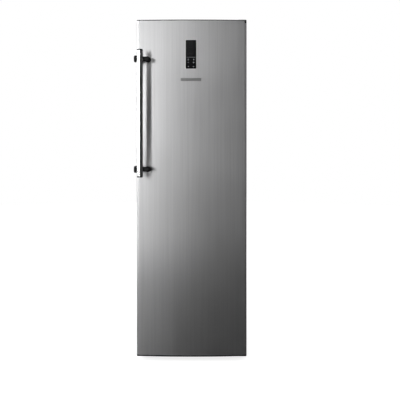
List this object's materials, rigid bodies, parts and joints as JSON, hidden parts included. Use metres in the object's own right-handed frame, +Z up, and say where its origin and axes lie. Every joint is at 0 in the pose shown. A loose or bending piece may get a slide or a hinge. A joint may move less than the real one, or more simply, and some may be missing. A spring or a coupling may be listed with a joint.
{
  "type": "upright freezer",
  "caption": "Tall free-standing freezer with a bowed stainless door, side bar handle and touch display; clear drawers and flaps inside.",
  "frame": {"origin": "on the floor, at the middle of the cabinet's width and of the overall depth", "axes": "+Z up, -Y towards the front (the door and its handle), +X towards the hinge side"},
  "size_m": [0.6065, 0.7105, 1.865],
  "materials": {
    "cabinet_paint": "satin",
    "galvanised_sheet": "matte",
    "base_steel": "satin",
    "foam": "matte",
    "liner_white": "gloss",
    "white_plastic": "satin",
    "black_plastic": "matte",
    "control_cover": "matte",
    "zinc_steel": "satin",
    "compressor_black": "satin",
    "mount_rubber": "matte",
    "copper": "satin",
    "fin_aluminium": "satin",
    "shelf_glass": "gloss",
    "clear_plastic": "gloss",
    "door_stainless": "satin",
    "cap_grey": "satin",
    "gasket_grey": "matte",
    "bush_plastic": "matte",
    "handle_metal": "polished",
    "handle_cap": "satin",
    "handle_black": "satin",
    "bezel_silver": "satin",
    "display_black": "gloss",
    "board_green": "satin",
    "plate_silver": "satin"
  },
  "bodies": {
    "cabinet": {"outer_shell": "cabinet_paint", "back_panel": "galvanised_sheet", "bay_panel": "galvanised_sheet", "compressor_deck": "galvanised_sheet", "base_rail": "base_steel", "top_hinge": "base_steel", "bottom_hinge": "base_steel", "cabinet_insulation": "foam", "inner_liner": "liner_white", "duct_cover": "liner_white", "shelf_supports": "liner_white", "shelf_trims": "white_plastic", "flap_hinges": "white_plastic", "drain_tube": "white_plastic", "interior_lamp": "white_plastic", "rear_spacers": "black_plastic", "terminal_cover": "black_plastic", "evaporating_pan": "black_plastic", "mains_inlet": "black_plastic", "fan_motor": "black_plastic", "control_box": "control_cover", "roller_brackets": "zinc_steel", "roller_axles": "zinc_steel", "hinge_screws": "zinc_steel", "defrost_heater": "zinc_steel", "compressor": "compressor_black", "compressor_mounts": "mount_rubber", "refrigerant_tubes": "copper", "filter_drier": "copper", "evaporator_fins": "fin_aluminium", "evaporator_tube": "fin_aluminium", "glass_shelves": "shelf_glass", "hinge_cover": "cap_grey"},
    "door": {"door_skin": "door_stainless", "door_top_cap": "cap_grey", "door_bottom_cap": "cap_grey", "door_insulation": "foam", "door_liner": "liner_white", "door_gasket": "gasket_grey", "door_bushes": "bush_plastic", "handle_bar": "handle_metal", "handle_end_caps": "handle_cap", "handle_brackets": "handle_black", "handle_screws": "zinc_steel", "display_bezel": "bezel_silver", "display_glass": "display_black", "display_board": "board_green", "nameplate": "plate_silver"},
    "fan_rotor": {"fan_rotor": "black_plastic"},
    "foot_left": {"foot_left": "black_plastic"},
    "foot_right": {"foot_right": "black_plastic"},
    "roller_left": {"roller_left": "black_plastic"},
    "roller_right": {"roller_right": "black_plastic"},
    "flap_upper": {"flap_upper": "clear_plastic"},
    "flap_lower": {"flap_lower": "clear_plastic"},
    "drawer_1": {"drawer_1": "clear_plastic"},
    "drawer_2": {"drawer_2": "clear_plastic"},
    "drawer_3": {"drawer_3": "clear_plastic"},
    "drawer_4": {"drawer_4": "clear_plastic"},
    "drawer_5": {"drawer_5": "clear_plastic"}
  },
  "joints": [
    {"name": "door_swing", "type": "hinge", "parent": "cabinet", "child": "door", "pos_m": [0.285, -0.262, 0.94], "axis": [0, 0, 1], "range_deg": [0, 130]},
    {"name": "drawer_1_slide", "type": "slide", "parent": "cabinet", "child": "drawer_1", "axis": [0, -1, 0], "range_m": [0, 0.205]},
    {"name": "drawer_2_slide", "type": "slide", "parent": "cabinet", "child": "drawer_2", "axis": [0, -1, 0], "range_m": [0, 0.205]},
    {"name": "drawer_3_slide", "type": "slide", "parent": "cabinet", "child": "drawer_3", "axis": [0, -1, 0], "range_m": [0, 0.205]},
    {"name": "drawer_4_slide", "type": "slide", "parent": "cabinet", "child": "drawer_4", "axis": [0, -1, 0], "range_m": [0, 0.205]},
    {"name": "drawer_5_slide", "type": "slide", "parent": "cabinet", "child": "drawer_5", "axis": [0, -1, 0], "range_m": [0, 0.137]},
    {"name": "flap_upper_lift", "type": "hinge", "parent": "cabinet", "child": "flap_upper", "pos_m": [0, -0.158, 1.756], "axis": [-1, 0, 0], "range_deg": [0, 78.5]},
    {"name": "flap_lower_lift", "type": "hinge", "parent": "cabinet", "child": "flap_lower", "pos_m": [0, -0.158, 1.511], "axis": [-1, 0, 0], "range_deg": [0, 78.5]},
    {"name": "fan_spin", "type": "hinge", "parent": "cabinet", "child": "fan_rotor", "pos_m": [0, 0.2205, 0.7], "axis": [0, 1, 0], "continuous": true},
    {"name": "foot_left_turn", "type": "hinge", "parent": "cabinet", "child": "foot_left", "pos_m": [-0.225, -0.181, 0.02], "axis": [0, 0, 1], "continuous": true},
    {"name": "foot_right_turn", "type": "hinge", "parent": "cabinet", "child": "foot_right", "pos_m": [0.225, -0.181, 0.02], "axis": [0, 0, 1], "continuous": true},
    {"name": "roller_left_roll", "type": "hinge", "parent": "cabinet", "child": "roller_left", "pos_m": [-0.24, 0.3, 0.013], "axis": [1, 0, 0], "continuous": true},
    {"name": "roller_right_roll", "type": "hinge", "parent": "cabinet", "child": "roller_right", "pos_m": [0.24, 0.3, 0.013], "axis": [1, 0, 0], "continuous": true}
  ],
  "couplings": [
    {"joint": "drawer_1_slide", "follows": "door_swing", "m_per_rad": 0.09},
    {"joint": "drawer_2_slide", "follows": "door_swing", "m_per_rad": 0.09},
    {"joint": "drawer_3_slide", "follows": "door_swing", "m_per_rad": 0.09},
    {"joint": "drawer_4_slide", "follows": "door_swing", "m_per_rad": 0.09},
    {"joint": "drawer_5_slide", "follows": "door_swing", "m_per_rad": 0.06},
    {"joint": "flap_upper_lift", "follows": "door_swing", "ratio": 0.6},
    {"joint": "flap_lower_lift", "follows": "door_swing", "ratio": 0.6}
  ]
}
